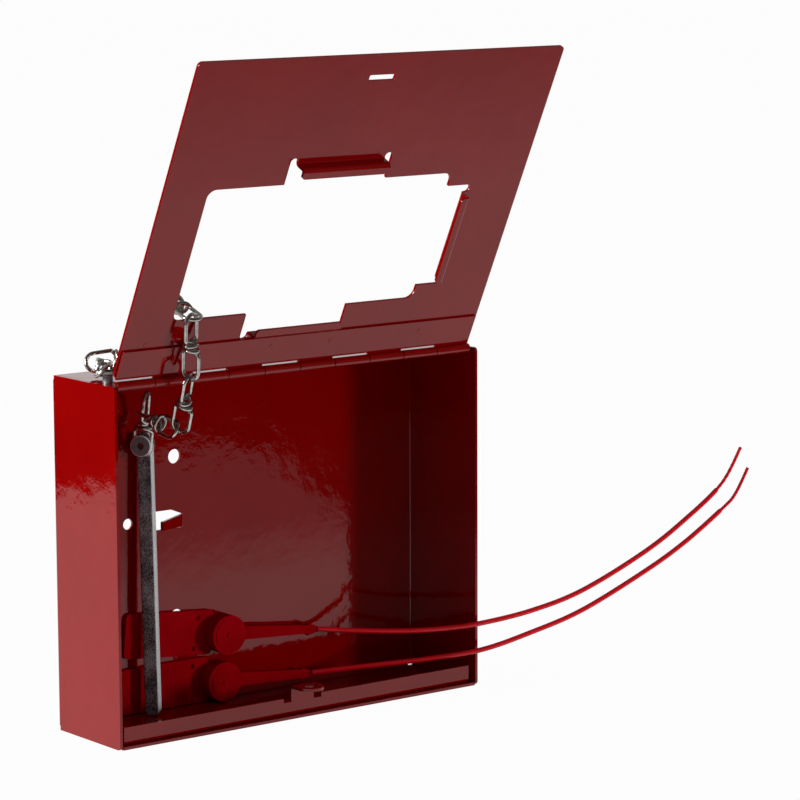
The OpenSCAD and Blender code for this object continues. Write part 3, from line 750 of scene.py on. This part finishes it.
# Before the box it is dimmer, and dark to the right of a slanting line across it
DIM_FROM, DIM_FULL, DIM_SHARE = -0.15, -0.24, 0.45
DARK_FROM, DARK_FULL, DARK_SHARE = -0.225, -0.235, 0.04
DARK_SLANT, DARK_LINE, DARK_FADE = 0.466, 0.125, 0.008
# The room's light on the box
SOFT_LIGHT = 0.2
# The room that glossy paint mirrors has a white wall, which dims upwards to the ceiling
WALL_TOP, CEILING_FROM = 0.2, 0.5
WALL_LIGHT, CEILING_LIGHT = 0.85, 0.2
# It is dark before the box and lit behind it; these are shares of a step forwards or back
ROOM_DARK, ROOM_LIT, ROOM_SHARE = -0.5, 0.1, 0.12


def make_floor():
    half = FLOOR_SIZE / 2
    mesh = bpy.data.meshes.new("floor")
    corners = [(-half, -half, 0), (half, -half, 0), (half, half, 0), (-half, half, 0)]
    mesh.from_pydata(corners, [], [(0, 1, 2, 3)])
    floor = bpy.data.objects.new("floor", mesh)
    bpy.context.scene.collection.objects.link(floor)
    material, tree = blank_material("floor_white")
    path = add(tree, "ShaderNodeLightPath").outputs
    spot = add(tree, "ShaderNodeNewGeometry").outputs["Position"]
    away = add(tree, "ShaderNodeVectorMath", {0: spot}, operation="LENGTH")
    shine = add(tree, "ShaderNodeMapRange", {
        "Value": away.outputs["Value"], "From Min": TABLE_REACH - TABLE_FADE,
        "From Max": TABLE_REACH + TABLE_FADE, "To Min": TABLE_LIGHT, "To Max": BEYOND_LIGHT,
    })
    across = add(tree, "ShaderNodeSeparateXYZ", {0: spot}).outputs
    dimmed = add(tree, "ShaderNodeMapRange", {
        "Value": across["Y"], "From Min": DIM_FULL, "From Max": DIM_FROM,
        "To Min": DIM_SHARE, "To Max": 1,
    })
    slanted = add(tree, "ShaderNodeMath", {
        0: across["Y"], 1: DARK_SLANT, 2: across["X"],
    }, operation="MULTIPLY_ADD")
    dark_right = add(tree, "ShaderNodeMapRange", {
        "Value": slanted.outputs["Value"], "From Min": DARK_LINE - DARK_FADE,
        "From Max": DARK_LINE + DARK_FADE, "To Min": 1, "To Max": DARK_SHARE,
    })
    in_front = add(tree, "ShaderNodeMapRange", {
        "Value": across["Y"], "From Min": DARK_FULL, "From Max": DARK_FROM,
    })
    right_part = add(tree, "ShaderNodeMapRange", {
        "Value": in_front.outputs["Result"], "To Min": dark_right.outputs["Result"], "To Max": 1,
    })
    share = add(tree, "ShaderNodeMath", {
        0: dimmed.outputs["Result"], 1: right_part.outputs["Result"],
    }, operation="MULTIPLY")
    shown = add(tree, "ShaderNodeMath", {
        0: shine.outputs["Result"], 1: share.outputs["Value"],
    }, operation="MULTIPLY")
    pale = add(tree, "ShaderNodeBsdfDiffuse", {"Color": linear(FLOOR_GREY)})
    mirrored = add(tree, "ShaderNodeEmission", {"Strength": shown.outputs["Value"]})
    white = add(tree, "ShaderNodeEmission", {"Color": (1, 1, 1, 1), "Strength": 1})
    seen = add(tree, "ShaderNodeMath", {0: path["Is Camera Ray"], 1: FLOOR_WHITE}, operation="MULTIPLY")
    lit = add(tree, "ShaderNodeMixShader", {
        0: path["Is Glossy Ray"], 1: pale.outputs[0], 2: mirrored.outputs[0],
    })
    close(tree, add(tree, "ShaderNodeMixShader", {
        0: seen.outputs["Value"], 1: lit.outputs[0], 2: white.outputs[0],
    }))
    mesh.materials.append(material)


def make_world():
    world = bpy.data.worlds.new("studio")
    world.use_nodes = True
    tree = world.node_tree
    tree.nodes.clear()
    path = add(tree, "ShaderNodeLightPath").outputs
    soft = add(tree, "ShaderNodeBackground", {"Color": (1, 1, 1, 1), "Strength": SOFT_LIGHT})
    around = add(tree, "ShaderNodeTexCoord").outputs["Generated"]
    towards = add(tree, "ShaderNodeSeparateXYZ", {0: around}).outputs
    wall = add(tree, "ShaderNodeMapRange", {
        "Value": towards["Z"], "From Min": WALL_TOP, "From Max": CEILING_FROM,
        "To Min": WALL_LIGHT, "To Max": CEILING_LIGHT,
    })
    behind = add(tree, "ShaderNodeMapRange", {
        "Value": towards["Y"], "From Min": ROOM_DARK, "From Max": ROOM_LIT,
        "To Min": ROOM_SHARE, "To Max": 1,
    })
    mirror_light = add(tree, "ShaderNodeMath", {
        0: wall.outputs["Result"], 1: behind.outputs["Result"],
    }, operation="MULTIPLY")
    mirrored = add(tree, "ShaderNodeBackground", {
        "Color": (1, 1, 1, 1), "Strength": mirror_light.outputs["Value"],
    })
    white = add(tree, "ShaderNodeBackground", {"Color": (1, 1, 1, 1), "Strength": 1})
    glossy = add(tree, "ShaderNodeMixShader", {
        0: path["Is Glossy Ray"], 1: soft.outputs[0], 2: mirrored.outputs[0],
    })
    seen = add(tree, "ShaderNodeMixShader", {
        0: path["Is Camera Ray"], 1: glossy.outputs[0], 2: white.outputs[0],
    })
    add(tree, "ShaderNodeOutputWorld", {"Surface": seen.outputs[0]})
    bpy.context.scene.world = world


def soft_lamp(name, place, aim, size, watts, mirrored=True):
    """A round lamp; one that isn't mirrored lights the box without showing in its paint."""
    data = bpy.data.lights.new(name, "AREA")
    data.shape = "DISK"
    data.size = size
    data.energy = watts
    lamp = bpy.data.objects.new(name, data)
    lamp.location = place
    lamp.visible_glossy = mirrored
    lamp.rotation_euler = (Vector(aim) - Vector(place)).to_track_quat("-Z", "Y").to_euler()
    bpy.context.scene.collection.objects.link(lamp)


make_floor()
make_world()
soft_lamp("key_left", place=(-1.5, 0.42, 0.6), aim=(-0.05, 0, 0.08), size=0.8, watts=30)
soft_lamp("fill_right", place=(1, -1.3, 0.14), aim=(0, 0, 0.1), size=0.25, watts=9, mirrored=False)

bpy.context.scene.view_settings.view_transform = "Standard"
